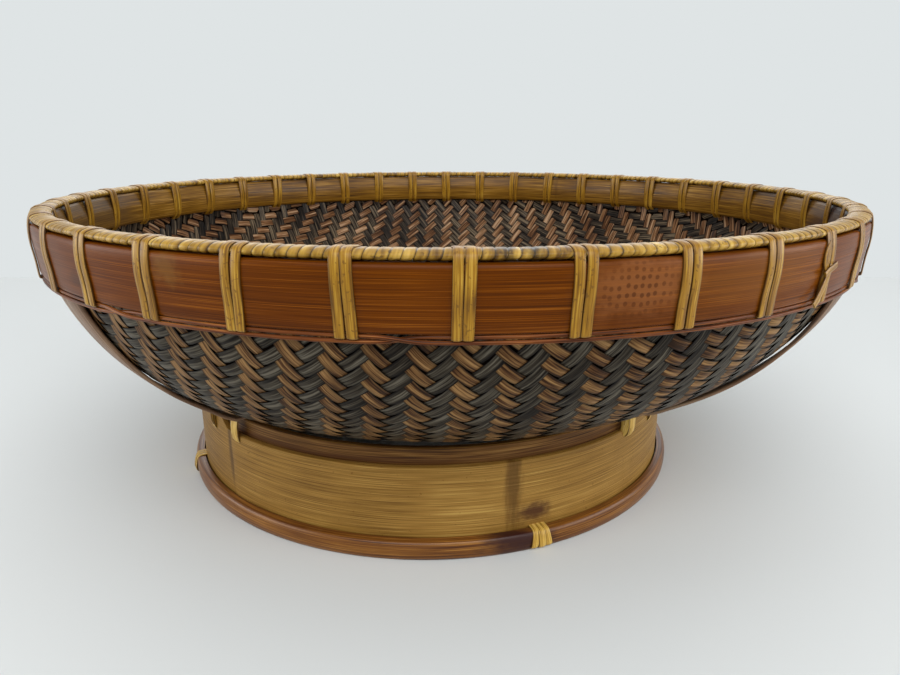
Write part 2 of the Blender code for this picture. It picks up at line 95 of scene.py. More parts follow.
# Where the points of a turn lie across its cane, and how many lie round the cap
COIL_ROWS = (0.0, 0.08, 0.22, 0.5, 0.78, 0.92)
COIL_POINTS = 16
COIL_CROWN = 0.28 * MM
COIL_CROWN_POWER = 6
COIL_STEP_ON_TOP = 0.8
COIL_LIFT_SPREAD = 0.06 * MM
COIL_LEAN_SPREAD = 0.12 * MM
COIL_SLIP_SPREAD = 0.05
COIL_GIRTH = 22 * MM
COIL_CANE_WIDTH = 4 * MM
CANE_WIDTH = 3.7 * MM
CANE_THICKNESS = 0.8 * MM
CANE_PAIR_GAP = 0.35 * MM
CANE_LIFT = CANE_THICKNESS / 2 + 0.05 * MM
LASHING_COUNT = 40
LASHING_DROP = 2.0 * MM
LASHING_LEAN = 0.5 * MM
CANE_LEAN = 0.2 * MM
CANE_STRAY = 0.08 * MM
LASHING_BENDS = (15, 45, 70, 90, 110, 135, 165)
MENDED_LASHING_AZIMUTH = math.radians(40)
RUNNER_HALF = 0.8 * MM
RUNNER_SPREAD = 1.9 * MM
RUNNER_INSET = 0.5 * MM
RUNNER_STEPS = 720
RUNNER_SWAP_CHANCE = 0.5

# Sizes of the bowl and its mat
WALL_THICKNESS = 1.6 * MM
BASE_RADIUS = 123 * MM
BASE_SHIFT = 7 * MM
BASE_SHIFT_POWER = 1.8
BELLY_DROP = 8.2 * MM
BELLY_REACH = 66 * MM
BASE_POINTS = 40
BELLY_POINTS = 60
UPRIGHT_POINTS = 12
STRIP_PITCH = 6.0 * MM
STRIP_WIDTH = 5.7 * MM
STRIP_THICKNESS = 0.45 * MM
WEAVE_LIFT = 0.55 * MM
WEAVE_PHASE = -1
FLOAT_FLATNESS = 1.7
MAT_MARGIN = 1.0 * MM
STRIP_SLACK = 0.12 * MM
STRIP_SLACK_LENGTH = 40 * MM
STRIP_DRIFT = 0.08 * MM
LOOSE_FROM = 215 * MM
LOOSE_TO = 255 * MM
LOOSE_NARROWING = 0.12
# Dark middle sheet of the mat: painted shade for the gaps between the strips
HEART_THICKNESS = 0.1 * MM
HEART_MARGIN = 3 * MM
HEART_POINTS = 44

# Sizes of the straps and the foot
STRAP_WIDTH = 25 * MM
STRAP_THICKNESS = 1.8 * MM
STRAP_AZIMUTHS = (math.radians(50.5), math.radians(-46.5))
STRAP_SLACKS = (1.2 * MM, 0.1 * MM)
STRAP_FALL_POWER = 8
STRAP_CLEAR = 0.3 * MM
STRAP_POINTS = 24
STRAP_SOFT = 0.5 * MM
STRAP_CROSSING = STRAP_WIDTH * 0.55
STRAP_LEVEL_SHARE = 0.7
STRAP_DIP = 2.1 * MM
STRAP_DIP_REACH = 14 * MM
FOOT_OUTER_THICKNESS = 2.7 * MM
FOOT_INNER_THICKNESS = 3.0 * MM
FOOT_STEP_DROP = 8.4 * MM
FOOT_STEP_HALF_ANGLE = math.radians(49)
FOOT_SEAM_AZIMUTH = math.radians(-44)
FOOT_LAP = 0.6 * MM
FOOT_LAP_ANGLE = 0.35
FOOT_SOFT = 0.5 * MM
HOOP_THICKNESS = 5.0 * MM
HOOP_SIDE = 2.2 * MM
HOOP_POINTS = 13
HOOP_ROUNDNESS = 0.6
TIE_COUNT = 4
TIE_LIFT = 0.8 * MM
TIE_WIDTH = 4.2 * MM
TIE_THICKNESS = 1.0 * MM
# Widths of the two strands that hang beside a strap
TIE_STRAND_WIDTHS = (3.2 * MM, 6.5 * MM)

# Floor and camera
FLOOR_WIDTH = 2.6
FLOOR_FRONT = -0.5
FLOOR_BACK = 0.52
CAMERA_PLACE = (0, -0.433, 0.194)
CAMERA_TILT = math.radians(73.52)
CAMERA_LENS_MM = 27.6
CAMERA_SENSOR_MM = 36

INSIDE_RADIUS = INNER_RADIUS - INNER_BAND_LEAN - INNER_BAND_THICKNESS
CAP_RADIUS = (RIM_RADIUS + INSIDE_RADIUS) / 2
LASHING_Z = BAND_BOTTOM - LASHING_DROP
FOOT_INSIDE = BRACE_RADIUS - FOOT_INNER_THICKNESS


# Points and lines


def smooth_step(low, high, value):
    """0 at low and 1 at high, with a smooth rise between."""
    share = np.clip((value - low) / (high - low), 0, 1)
    return share * share * (3 - 2 * share)


def polar(radius, azimuth, z, centre_x=0.0):
    """Points at these radii and azimuths about an upright axis."""
    radius, azimuth, z = np.broadcast_arrays(radius, azimuth, z)
    return np.stack((centre_x + radius * np.sin(azimuth), -radius * np.cos(azimuth), z), axis=-1)


def unit(vectors):
    """Vectors brought to length one."""
    return vectors / np.linalg.norm(vectors, axis=-1, keepdims=True)


def rounded(points, rounds, closed):
    """Cuts the corners of a line of points a few times, so that it bends smoothly."""
    line = np.asarray(points, float)
    for _ in range(rounds):
        after = np.roll(line, -1, axis=0)
        cut = np.stack((0.75 * line + 0.25 * after, 0.25 * line + 0.75 * after), axis=1)
        cut = cut.reshape(-1, line.shape[1])
        line = cut if closed else np.vstack((line[:1], cut[:-2], line[-1:]))
    return line


def upright_axes(azimuth):
    """Unit vectors at an azimuth: outward, sideways and up."""
    out = np.array((math.sin(azimuth), -math.cos(azimuth), 0))
    side = np.array((math.cos(azimuth), math.sin(azimuth), 0))
    return out, side, np.array((0, 0, 1))


def loop_normals(loop):
    """Outward normals of a closed loop of (radius, z) points."""
    run = np.roll(loop, -1, axis=0) - np.roll(loop, 1, axis=0)
    return unit(np.column_stack((run[:, 1], -run[:, 0])))


def bowl_line():
    """Middle line of the bowl's wall, by distance from its centre: distances, points, outward normals."""
    shoulder = np.array((WALL_RADIUS - RIM_LEAN, BAND_BOTTOM))
    drop = np.array((-RIM_LEAN * BELLY_DROP / (BAND_TOP - BAND_BOTTOM), -BELLY_DROP))
    base = np.array((BASE_RADIUS, BASE_Z))
    reach = np.array((BELLY_REACH, 0))
    t = np.linspace(1, 0, BELLY_POINTS)[:, None]
    s = 1 - t
    belly = s**3 * shoulder + 3 * s * s * t * (shoulder + drop) + 3 * s * t * t * (base + reach) + t**3 * base
    flat = np.linspace((0, BASE_Z), base, BASE_POINTS)[:-1]
    top = np.linspace(shoulder, (WALL_RADIUS, BAND_TOP), UPRIGHT_POINTS)[1:]
    line = np.vstack((flat, belly, top))
    along = unit(np.gradient(line, axis=0))
    normal = np.column_stack((along[:, 1], -along[:, 0]))
    line = line - normal * WALL_THICKNESS / 2
    steps = np.linalg.norm(np.diff(line, axis=0), axis=1)
    return np.concatenate(([0.0], np.cumsum(steps))), line, normal


BOWL_DISTANCE, BOWL_LINE, BOWL_NORMAL = bowl_line()


def bowl_section(distance, line=BOWL_LINE):
    """Radius, height and outward normal of a line of the wall, at distances from the bowl's centre."""
    return [np.interp(distance, BOWL_DISTANCE, column) for column in (*line.T, *BOWL_NORMAL.T)]


def base_shift(z):
    """How far the bowl stands to one side at this height: its base sits off the rim's centre."""
    drop = np.clip((BAND_BOTTOM - z) / (BAND_BOTTOM - BASE_Z), 0, 1)
    return -BASE_SHIFT * drop**BASE_SHIFT_POWER


def on_bowl(x, y):
    """Lays points of the flat mat on the bowl; gives the points and the outward normals there."""
    distance = np.hypot(x, y)
    turn = np.arctan2(y, x)
    radius, z, out, up = bowl_section(distance)
    points = np.stack((radius * np.cos(turn) + base_shift(z), radius * np.sin(turn), z), axis=-1)
    normals = np.stack((out * np.cos(turn), out * np.sin(turn), up), axis=-1)
    return points, normals


# Meshes


class Strips:
    """Swept strips gathered in one mesh, with a UV map in metres along and across each strip."""

    def __init__(self):
        self.points, self.faces, self.uvs, self.edge, self.outside = [], [], [], [], []
        self.total = 0

    def sweep(self, path, out, section, closed=False, widths=None, start=(0.0, 0.0)):
        """Sweeps a section of (across, out) points, drawn anticlockwise, along a path."""
        section = np.asarray(section)
        rings, corners = len(path), len(section)
        if closed:
            along = unit(np.roll(path, -1, axis=0) - np.roll(path, 1, axis=0))
        else:
            along = unit(np.gradient(path, axis=0))
        across = unit(np.cross(out, along))
        out = np.cross(along, across)
        spread = section[None, :, 0] * (np.ones(rings) if widths is None else widths)[:, None]
        points = path[:, None] + across[:, None] * spread[..., None]
        points = points + out[:, None] * section[None, :, 1, None]
        k = np.arange(rings if closed else rings - 1)[:, None]
        j = np.arange(corners)[None, :]
        next_k, next_j = (k + 1) % rings, (j + 1) % corners
        quads = (k * corners + j, k * corners + next_j, next_k * corners + next_j, next_k * corners + j)
        self.faces += (np.stack(quads, axis=-1).reshape(-1, 4) + self.total).tolist()
        step = np.linalg.norm(np.roll(path, -1, axis=0) - path, axis=1)
        begin = start[0] + np.concatenate(([0.0], np.cumsum(step)[:-1]))
        u_low, u_high = begin[k] + 0 * j, begin[k] + step[k] + 0 * j
        v_low, v_high = start[1] + section[j, 0] + 0 * k, start[1] + section[next_j, 0] + 0 * k
        uv = np.stack((u_low, v_low, u_low, v_high, u_high, v_high, u_high, v_low), axis=-1)
        self.uvs.append(uv.reshape(-1, 2))
        if not closed:
            last = self.total + (rings - 1) * corners
            self.faces.append([self.total + c for c in reversed(range(corners))])
            self.faces.append([last + c for c in range(corners)])
            ends = np.column_stack((np.full(corners, begin[0]), start[1] + section[::-1, 0]))
            tail = np.column_stack((np.full(corners, begin[-1]), start[1] + section[:, 0]))
            self.uvs += [ends, tail]
        self.points.append(points.reshape(-1, 3))
        rise = section[:, 1] + np.roll(section[:, 1], -1)
        self.outside.append(np.tile(rise > -0.01 * MM, len(k)))
        if not closed:
            self.outside.append(np.ones(2))
        self.edge.append(np.tile(np.abs(section[:, 0]) / np.abs(section[:, 0]).max(), rings))
        self.total += rings * corners

    def piece(self, name, sharp=50):
        """Makes the mesh object; edges sharper than this angle stay crisp."""
        mesh = bpy.data.meshes.new(name)
        mesh.from_pydata(np.concatenate(self.points), [], self.faces)
        mesh.uv_layers.new(name="strip").data.foreach_set("uv", np.concatenate(self.uvs).ravel())
        for label, domain, values in (("outside", "FACE", self.outside), ("edge", "POINT", self.edge)):
            mark = mesh.attributes.new(label, "FLOAT", domain)
            mark.data.foreach_set("value", np.concatenate(values).astype(float))
        mesh.shade_smooth()
        mesh.set_sharp_from_angle(angle=math.radians(sharp))
        piece = bpy.data.objects.new(name, mesh)
        bpy.context.scene.collection.objects.link(piece)
        return piece


def spun_ring(name, outline, centre_x=0.0, sharp=35):
    """Spins a closed outline of (radius, z) points about an upright axis; azimuth runs along the UV map."""
    bpy.ops.object.select_all(action="DESELECT")
    bpy.ops.mesh.primitive_circle_add(vertices=len(outline), radius=1.0)
    ring = bpy.context.object
    ring.name = name
    for vert, (radius, z) in zip(ring.data.vertices, outline):
        vert.co = (centre_x, -radius, z)
    bpy.ops.object.mode_set(mode="EDIT")
    bpy.ops.mesh.select_all(action="SELECT")
    bpy.ops.mesh.spin(steps=BAND_STEPS, angle=2 * math.pi, center=(centre_x, 0, 0), axis=(0, 0, 1))
    bpy.ops.mesh.select_all(action="SELECT")
    bpy.ops.mesh.remove_doubles(threshold=0.01 * MM)
    bpy.ops.mesh.normals_make_consistent(inside=False)
    bpy.ops.object.mode_set(mode="OBJECT")
    unroll(ring, centre_x)
    ring.data.shade_smooth()
    ring.data.set_sharp_from_angle(angle=math.radians(sharp))
    return ring


def unroll(ring, centre_x):
    """UV map of a ring: metres along its azimuth, and height with the radius folded in."""
    mesh = ring.data
    layer = mesh.uv_layers.get("strip") or mesh.uv_layers.new(name="strip")
    for face in mesh.polygons:
        middle = math.atan2(face.center.x - centre_x, -face.center.y)
        for loop in face.loop_indices:
            spot = mesh.vertices[mesh.loops[loop].vertex_index].co
            radius = math.hypot(spot.x - centre_x, spot.y)
            turn = math.atan2(spot.x - centre_x, -spot.y)
            turn += 2 * math.pi * round((middle - turn) / (2 * math.pi))
            layer.data[loop].uv = (turn * RIM_RADIUS, spot.z - radius)


def reshape(ring, centre_x, move):
    """Moves each point of a ring: move takes its azimuth, radius and height and gives the new two."""
    for vert in ring.data.vertices:
        azimuth = math.atan2(vert.co.x - centre_x, -vert.co.y)
        radius, z = move(azimuth, math.hypot(vert.co.x - centre_x, vert.co.y), vert.co.z)
        vert.co = polar(radius, azimuth, z, centre_x)
    unroll(ring, centre_x)


def dress(piece, material, slot, *nodes):
    """Gives a piece its finish, sets it on the basket's one body and lets it stand for its solids."""
    piece.data.materials.clear()
    piece.data.materials.append(material)
    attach(piece, "root")
    if nodes:
        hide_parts(*nodes)


# Materials

CANE_EDGE_POWER = 8.0
# Painted shade: how closely the mat strips' near-black edges keep to the edges
STRIP_EDGE_SHADE_POWER = 4.0
SPECK_WEIGHT = 0.7
PIT_WEIGHT = 0.55
ROUGHNESS_SPREAD = 0.08
COAT_ROUGHNESS = 0.22


def srgb(code):
    """Linear colour of an sRGB hex code."""
    channels = [int(code[k : k + 2], 16) / 255 for k in (1, 3, 5)]
    linear = [c / 12.92 if c <= 0.04045 else ((c + 0.055) / 1.055) ** 2.4 for c in channels]
    return (*linear, 1.0)


def add_node(tree, kind, inputs=None, stops=None, **settings):
    """Adds a shader node; an input is a value, or a node and the name of its output."""
    node = tree.nodes.new(kind)
    for name, value in settings.items():
        setattr(node, name, value)
    for name, value in (inputs or {}).items():
        if isinstance(value, tuple) and isinstance(value[0], bpy.types.Node):
            tree.links.new(value[0].outputs[value[1]], node.inputs[name])
        else:
            node.inputs[name].default_value = value
    if stops:
        ramp = node.color_ramp
        while len(ramp.elements) < len(stops):
            ramp.elements.new(0.5)
        for element, (place, code) in zip(ramp.elements, stops):
            element.position = place
            element.color = srgb(code)
    return node


def new_material(name):
    """A new material, its node tree and its main shader."""
    material = bpy.data.materials.new(name)
    material.use_nodes = True
    return material, material.node_tree, material.node_tree.nodes["Principled BSDF"]


def even_stops(codes, low=0.31, high=0.69):
    """Ramp stops at even steps over the span where most of the noise lies."""
    return [(low + (high - low) * k / (len(codes) - 1), code) for k, code in enumerate(codes)]


def strip_noise(tree, along_mm, across_mm, detail=2.0):
    """Noise drawn out along a strip, with these sizes of grain."""
    uv = add_node(tree, "ShaderNodeUVMap", uv_map="strip")
    scale = (1 / (along_mm * MM), 1 / (across_mm * MM), 1)
    grid = add_node(tree, "ShaderNodeMapping", {"Vector": (uv, "UV"), "Scale": scale})
    return add_node(tree, "ShaderNodeTexNoise", {"Vector": (grid, "Vector"), "Scale": 1.0, "Detail": detail})


def body_noise(tree, size_mm, detail=3.0):
    """Noise in the basket's own space, with patches of this size."""
    place = add_node(tree, "ShaderNodeTexCoord")
    inputs = {"Vector": (place, "Object"), "Scale": 1 / (size_mm * MM), "Detail": detail}
    return add_node(tree, "ShaderNodeTexNoise", inputs)


def weighted(tree, *parts):
    """Adds up (node, output, weight) parts, each taken about its middle, round one half."""
    total = None
    for node, output, weight in parts:
        inputs = {0: (node, output), 1: weight, 2: 0.5 - weight / 2 if total is None else -weight / 2}
        part = add_node(tree, "ShaderNodeMath", inputs, operation="MULTIPLY_ADD")
        total = part if total is None else add_node(tree, "ShaderNodeMath", {0: (total, 0), 1: (part, 0)})
    return total


def stain_mask(tree, centre, size, rough=1.0):
    """1 inside a ragged ellipsoid about a point of the basket, 0 outside it."""
    place = add_node(tree, "ShaderNodeTexCoord")
    local = add_node(
        tree,
        "ShaderNodeMapping",
        {"Vector": (place, "Object"), "Location": tuple(centre), "Scale": tuple(size)},
        vector_type="TEXTURE",
    )
    reach = add_node(tree, "ShaderNodeVectorMath", {0: (local, "Vector")}, operation="LENGTH")
    ragged = add_node(tree, "ShaderNodeTexNoise", {"Vector": (local, "Vector"), "Scale": 2.5, "Detail": 6.0})
    edge = add_node(
        tree, "ShaderNodeMath", {0: (ragged, 0), 1: rough, 2: (reach, "Value")}, operation="MULTIPLY_ADD"
    )
    low, high = 0.2 + rough / 2, 1.0 + rough / 2
    return add_node(
        tree, "ShaderNodeMapRange", {"Value": (edge, 0), 1: low, 2: high, 3: 1.0, 4: 0.0},
        interpolation_type="SMOOTHSTEP",
    )


def tint(tree, base, code, factor):
    """Lays a colour over another by a factor, which is a number or a node's first output."""
    share = (factor, 0) if isinstance(factor, bpy.types.Node) else factor
    return add_node(tree, "ShaderNodeMix", {0: share, 6: base, 7: srgb(code)}, data_type="RGBA")


def on_ring(radius, degrees, z, centre_x=0.0):
    """A point of a ring, by its azimuth in degrees."""
    return polar(radius, math.radians(degrees), z, centre_x)


def faded(tree, mask, weight):
    """A mask made weaker."""
    return add_node(tree, "ShaderNodeMath", {0: (mask, 0), 1: weight}, operation="MULTIPLY")


def edge_mask(tree, power):
    """1 at a strip's edges, 0 along its middle; a higher power keeps it closer to the edges."""
    edge = add_node(tree, "ShaderNodeAttribute", attribute_name="edge")
    return add_node(tree, "ShaderNodeMath", {0: (edge, "Fac"), 1: power}, operation="POWER")


def pitted(tree, colour, pitch_mm, code, mask):
    """Rows of small dark pits where the mask says so."""
    uv = add_node(tree, "ShaderNodeUVMap", uv_map="strip")
    inputs = {"Vector": (uv, "UV"), "Scale": 1 / (pitch_mm * MM), "Randomness": 0.35}
    cells = add_node(tree, "ShaderNodeTexVoronoi", inputs, voronoi_dimensions="2D")
    inputs = {"Value": (cells, "Distance"), 1: 0.22, 2: 0.34, 3: 1.0, 4: 0.0}
    dot = add_node(tree, "ShaderNodeMapRange", inputs)
    share = add_node(tree, "ShaderNodeMath", {0: (dot, 0), 1: (mask, 0)}, operation="MULTIPLY")
    return tint(tree, colour, code, faded(tree, share, PIT_WEIGHT))


def grain_material(
    name, codes, fibre, patch_mm, roughness, bump_mm, coat=0.0, edge=None, specks=None, stains=(), pits=None,
    shine=0.25,
):
    """Bamboo or cane with fibres along the strip: codes run from its dark to its light fibres.

    fibre: length and width in mm. edge: colour of the strip's edges. specks: size in mm, amount, colour.
    stains: centre, half sizes, colour, weight of each. pits: centre, half sizes, pitch in mm, colour.
    """
    material, tree, shader = new_material(name)
    length_mm, width_mm = fibre
    fine = strip_noise(tree, length_mm, width_mm)
    broad = strip_noise(tree, length_mm * 3, width_mm * 4)
    patch = body_noise(tree, patch_mm)
    value = weighted(tree, (fine, 0, 0.85), (broad, 0, 0.4), (patch, 0, 0.3))
    ramp = add_node(tree, "ShaderNodeValToRGB", {"Fac": (value, 0)}, stops=even_stops(codes))
    colour = (ramp, "Color")
    if specks:
        size_mm, amount, code = specks
        dots = body_noise(tree, size_mm, 2.0)
        mask = add_node(tree, "ShaderNodeMapRange", {"Value": (dots, 0), 1: 1 - amount, 2: 1.05 - amount})
        colour = (tint(tree, colour, code, faded(tree, mask, SPECK_WEIGHT)), 2)
    if edge:
        colour = (tint(tree, colour, edge, edge_mask(tree, CANE_EDGE_POWER)), 2)
    for centre, size, code, weight in stains:
        mask = stain_mask(tree, centre, size)
        colour = (tint(tree, colour, code, faded(tree, mask, weight)), 2)
    if pits:
        centre, size, pitch_mm, code = pits
        colour = (pitted(tree, colour, pitch_mm, code, stain_mask(tree, centre, size, 0.3)), 2)
    tree.links.new(colour[0].outputs[colour[1]], shader.inputs["Base Color"])
    gloss = add_node(
        tree, "ShaderNodeMapRange",
        {"Value": (value, 0), 3: roughness + ROUGHNESS_SPREAD, 4: roughness - ROUGHNESS_SPREAD},
    )
    tree.links.new(gloss.outputs[0], shader.inputs["Roughness"])
    relief = add_node(
        tree, "ShaderNodeBump", {"Height": (fine, 0), "Strength": 0.6, "Distance": bump_mm * MM}
    )
    tree.links.new(relief.outputs[0], shader.inputs["Normal"])
    shader.inputs["Specular IOR Level"].default_value = shine
    shader.inputs["Coat Weight"].default_value = coat
    shader.inputs["Coat Roughness"].default_value = COAT_ROUGHNESS
    return material


def mat_strip_material(name, outside_codes, inside_codes):
    """Flat bamboo strips of the mat: dull and dusty outside, oiled and glossier inside."""
    material, tree, shader = new_material(name)
    fine = strip_noise(tree, 18, 0.8)
    strip = strip_noise(tree, 60, 2.6, 1.0)
    patch = body_noise(tree, 45)
    value = weighted(tree, (fine, 0, 1.0), (strip, 0, 0.7), (patch, 0, 0.4))
    outer = add_node(tree, "ShaderNodeValToRGB", {"Fac": (value, 0)}, stops=even_stops(outside_codes))
    inner = add_node(tree, "ShaderNodeValToRGB", {"Fac": (value, 0)}, stops=even_stops(inside_codes))
    side = add_node(tree, "ShaderNodeAttribute", attribute_name="outside")
    mixed = add_node(
        tree, "ShaderNodeMix", {0: (side, "Fac"), 6: (inner, "Color"), 7: (outer, "Color")}, data_type="RGBA"
    )
    # Painted shade: the strips turn nearly black at their edges, where the gaps between them lie in shade
    colour = tint(tree, (mixed, 2), "#060302", edge_mask(tree, STRIP_EDGE_SHADE_POWER))
    tree.links.new(colour.outputs[2], shader.inputs["Base Color"])
    inside_roughness, outside_roughness = 0.3, 0.48
    gloss = add_node(
        tree, "ShaderNodeMapRange", {"Value": (side, "Fac"), 3: inside_roughness, 4: outside_roughness}
    )
    tree.links.new(gloss.outputs[0], shader.inputs["Roughness"])
    relief = add_node(tree, "ShaderNodeBump", {"Height": (fine, 0), "Strength": 0.5, "Distance": 0.12 * MM})
    tree.links.new(relief.outputs[0], shader.inputs["Normal"])
    shader.inputs["Specular IOR Level"].default_value = 0.08
    return material


# The woven bowl


def make_mat():
    """Two sets of strips on the bias, each over two and under two, pressed into the bowl."""
    half_width, half_thick = STRIP_WIDTH / 2, STRIP_THICKNESS / 2
    section = [
        (-half_width, -half_thick * 0.5), (0, -half_thick), (half_width, -half_thick * 0.5),
        (half_width, half_thick * 0.5), (0, half_thick), (-half_width, half_thick * 0.5),
    ]
    reach = BOWL_DISTANCE[-1] - MAT_MARGIN
    count = int(reach / STRIP_PITCH)
    # Bamboo strips gone brown with oil and use: warm, finely lined, with painted shade making them black at
    # the edges
    brown = mat_strip_material(
        "oiled_brown_bamboo_strip",
        ("#281709", "#4a2e18", "#694a2a", "#82603a", "#9a764a"),
        # Inside colours: their pale, greyish light end is partly painted sheen, partly the oiled strips' own
        # tone
        ("#2b180c", "#50321b", "#704c2f", "#8e6948", "#b29272"),
    )
    # Bamboo strips smoked nearly black: cool grey where worn outside, dark and slick inside
    dark = mat_strip_material(
        "smoked_bamboo_strip",
        ("#120c07", "#262018", "#3b342a", "#4e483d", "#686154"),
        ("#0d0906", "#1d1610", "#30271e", "#4b3f31", "#776751"),
    )
    for name, side, material in (("mat_strips_brown", 1, brown), ("mat_strips_dark", -1, dark)):
        strips = Strips()
        for k in range(-count, count + 1):
            offset = k * STRIP_PITCH
            half_length = math.sqrt(max(reach**2 - offset**2, 0))
            steps = int(half_length / (STRIP_PITCH / 2))
            if steps < 2:
                continue
            along = np.arange(-steps, steps + 1) * STRIP_PITCH / 2
            slack = STRIP_SLACK * np.sin(along / STRIP_SLACK_LENGTH + chance.uniform(0, 6.3))
            drift = offset + slack + chance.normal(0, STRIP_DRIFT)
            x = (along + drift) / math.sqrt(2)
            y = side * (along - drift) / math.sqrt(2)
            points, normals = on_bowl(x, y)
            crossing = (along + offset) / STRIP_PITCH + WEAVE_PHASE
            swing = np.cos(math.pi / 2 * (crossing - 0.5))
            wave = np.tanh(FLOAT_FLATNESS * swing) / math.tanh(FLOAT_FLATNESS)
            path = points + normals * (side * WEAVE_LIFT * wave)[:, None]
            loose = smooth_step(LOOSE_FROM, LOOSE_TO, np.hypot(x, y))
            widths = (1 - LOOSE_NARROWING * loose) * chance.uniform(0.95, 1.02)
            strips.sweep(path, normals, section, widths=widths, start=(chance.uniform(0, 3), offset))
        dress(strips.piece(name), material, "woven_bamboo", "woven_bowl")


def make_mat_shade_sheet():
    """Thin dark layer in the middle of the mat, so that no daylight comes through between the strips; its
    near-black colour is painted shade in the gaps.
    """
    distance = np.linspace(0, BOWL_DISTANCE[-1] - HEART_MARGIN, HEART_POINTS)
    radius, z, out, up = bowl_section(distance)
    half = HEART_THICKNESS / 2
    outer = np.column_stack((np.maximum(radius + out * half, 0), z + up * half))
    inner = np.column_stack((np.maximum(radius - out * half, 0), z - up * half))
    heart = spun_ring("mat_shade_sheet", np.vstack((outer, inner[::-1])))
    for vert in heart.data.vertices:
        vert.co.x += base_shift(vert.co.z)
    # Painted shade in the gaps between the strips: nearly black, wholly matt
    finish = grain_material(
        "painted_shade_in_mat", ("#060302", "#0c0704", "#140c07"), (30, 0.8), 40, 0.9, 0.02, shine=0.0
    )
    dress(heart, finish, "woven_bamboo", "woven_bowl")


# The rim


def make_outer_band():
    edge = BAND_EDGE
    low = RIM_RADIUS - RIM_LEAN
    back = OUTER_BAND_THICKNESS
    middle = (BAND_TOP + BAND_BOTTOM) / 2
    face = [
        (RIM_RADIUS - edge * 1.2, BAND_TOP),
        (RIM_RADIUS - edge * 0.5, BAND_TOP - edge * 0.2),
        (RIM_RADIUS - edge * 0.15, BAND_TOP - edge * 0.6),
        (RIM_RADIUS, BAND_TOP - edge * 1.6),
        (RIM_RADIUS + 0.1 * MM, BAND_TOP - 6 * MM),
        (RIM_RADIUS - RIM_LEAN * 0.35, middle),
        (low + 0.1 * MM, BAND_BOTTOM + 5 * MM),
        (low - edge * 0.1, BAND_BOTTOM + edge),
        (low - edge * 0.5, BAND_BOTTOM + edge * 0.25),
        (low - edge * 1.2, BAND_BOTTOM),
    ]
    outline = face + [(low - back, BAND_BOTTOM), (RIM_RADIUS - back, BAND_TOP)]
    band = spun_ring("outer_band_skin", outline)
    # Lacquered bamboo skin: straight fibres, red-brown with orange lines and a soft sheen
    finish = grain_material(
        "lacquered_red_bamboo",
        ("#4a2302", "#582902", "#623002", "#6f3904", "#8c5014"),
        (60, 0.3), 60, 0.30, 0.03, shine=0.08,
        stains=(
            (on_ring(RIM_RADIUS, -25.3, 0.150), (0.009, 0.009, 0.008), "#7a5526", 0.55),
            # Painted sheen: a lighter, pinkish patch on the panel right of the front
            (on_ring(RIM_RADIUS, 16.0, 0.147), (0.03, 0.02, 0.016), "#9a6238", 0.5),
            # Lighter and yellower at the right: partly painted sheen, partly the band's own lighter streaks
            (on_ring(RIM_RADIUS, 29.0, 0.146), (0.05, 0.05, 0.016), "#8c5a20", 0.3),
            (on_ring(RIM_RADIUS, -40.0, 0.140), (0.008, 0.008, 0.005), "#3a2416", 0.5),
        ),
        pits=(on_ring(RIM_RADIUS, 15.8, 0.146), (0.022, 0.013, 0.014), 2.7, "#341404"),
    )
    dress(band, finish, "rim_band_red", "outer_rim_band")


def make_inner_band():
    bottom_radius = INNER_RADIUS - 2 * INNER_BAND_LEAN
    outline = [(bottom_radius, INNER_BOTTOM), (INNER_RADIUS, BAND_TOP)]
    for share, bulge in INNER_BAND_FACETS:
        flat = INNER_RADIUS + (bottom_radius - INNER_RADIUS) * share
        outline.append((flat - bulge * INNER_BAND_THICKNESS, BAND_TOP + (INNER_BOTTOM - BAND_TOP) * share))
    band = spun_ring("inner_band_half_round", outline, sharp=12)
    # Bare half-round bamboo, tan, with dull fibres and a little polish from handling
    finish = grain_material(
        "handled_tan_bamboo",
        ("#3e2706", "#5d3c0c", "#765013", "#8a621d", "#a67d38"),
        (35, 0.6), 40, 0.34, 0.10,
        stains=(
            (on_ring(INSIDE_RADIUS, -85, 0.150), (0.05, 0.08, 0.03), "#5a452c", 0.6),
            (on_ring(INSIDE_RADIUS, 74, 0.150), (0.04, 0.058, 0.03), "#382a2a", 0.9),
            (on_ring(INSIDE_RADIUS, 154, 0.149), (0.003, 0.004, 0.014), "#533409", 0.6),
        ),
    )
    dress(band, finish, "rim_band_tan", "inner_rim_band")


